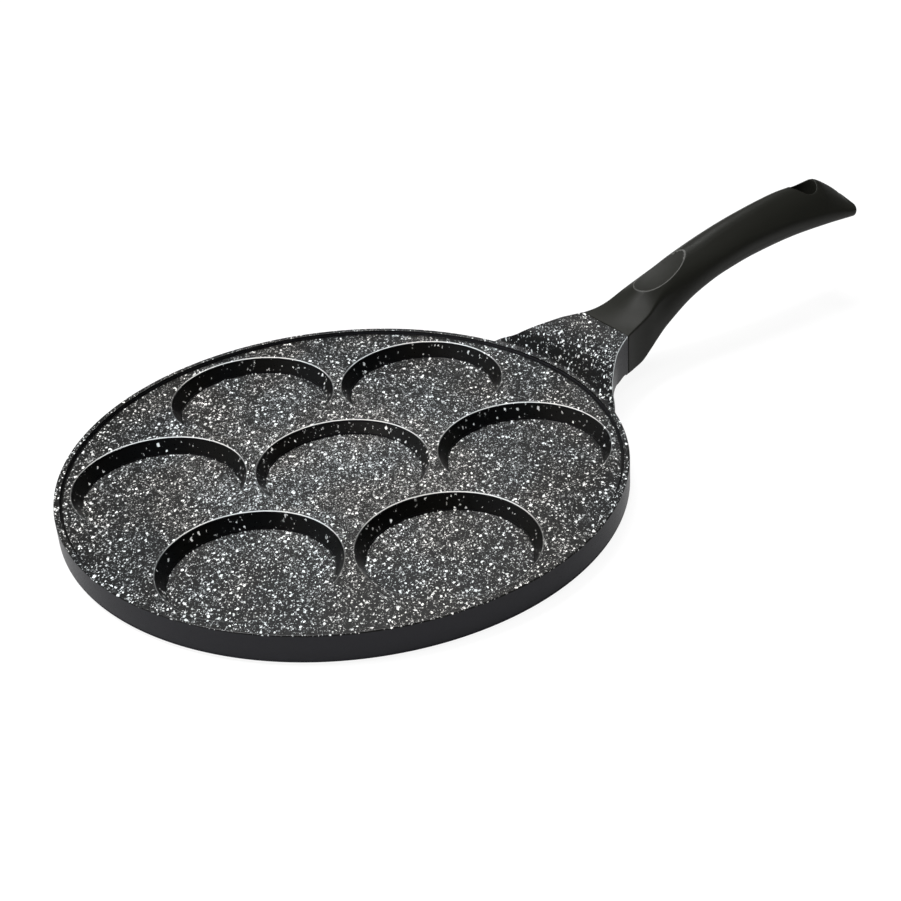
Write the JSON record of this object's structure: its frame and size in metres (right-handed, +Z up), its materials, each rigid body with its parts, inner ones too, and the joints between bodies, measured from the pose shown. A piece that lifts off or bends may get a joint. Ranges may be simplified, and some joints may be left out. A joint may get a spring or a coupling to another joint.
{
  "type": "blini pan",
  "caption": "Shallow round cast pan with round wells for blini, a flared cast lug, and a moulded black handle with a thumb scoop and a hanging hole.",
  "frame": {"origin": "middle of the pan's flat base, on the surface it stands on", "axes": "+X runs to the handle, +Z is up out of the wells"},
  "size_m": [0.4542, 0.265, 0.0675],
  "materials": {
    "nonstick_coating": "dark grey non-stick coating with dense pale specks on the cooking face, plain satin outside",
    "handle_plastic": "soft-touch satin black",
    "screw_steel": "zinc-plated steel",
    "washer_steel": "zinc-plated steel"
  },
  "bodies": {
    "root": {"pan_body": "nonstick_coating", "handle": "handle_plastic", "handle_screw": "screw_steel", "screw_washer": "washer_steel"}
  },
  "joints": []
}
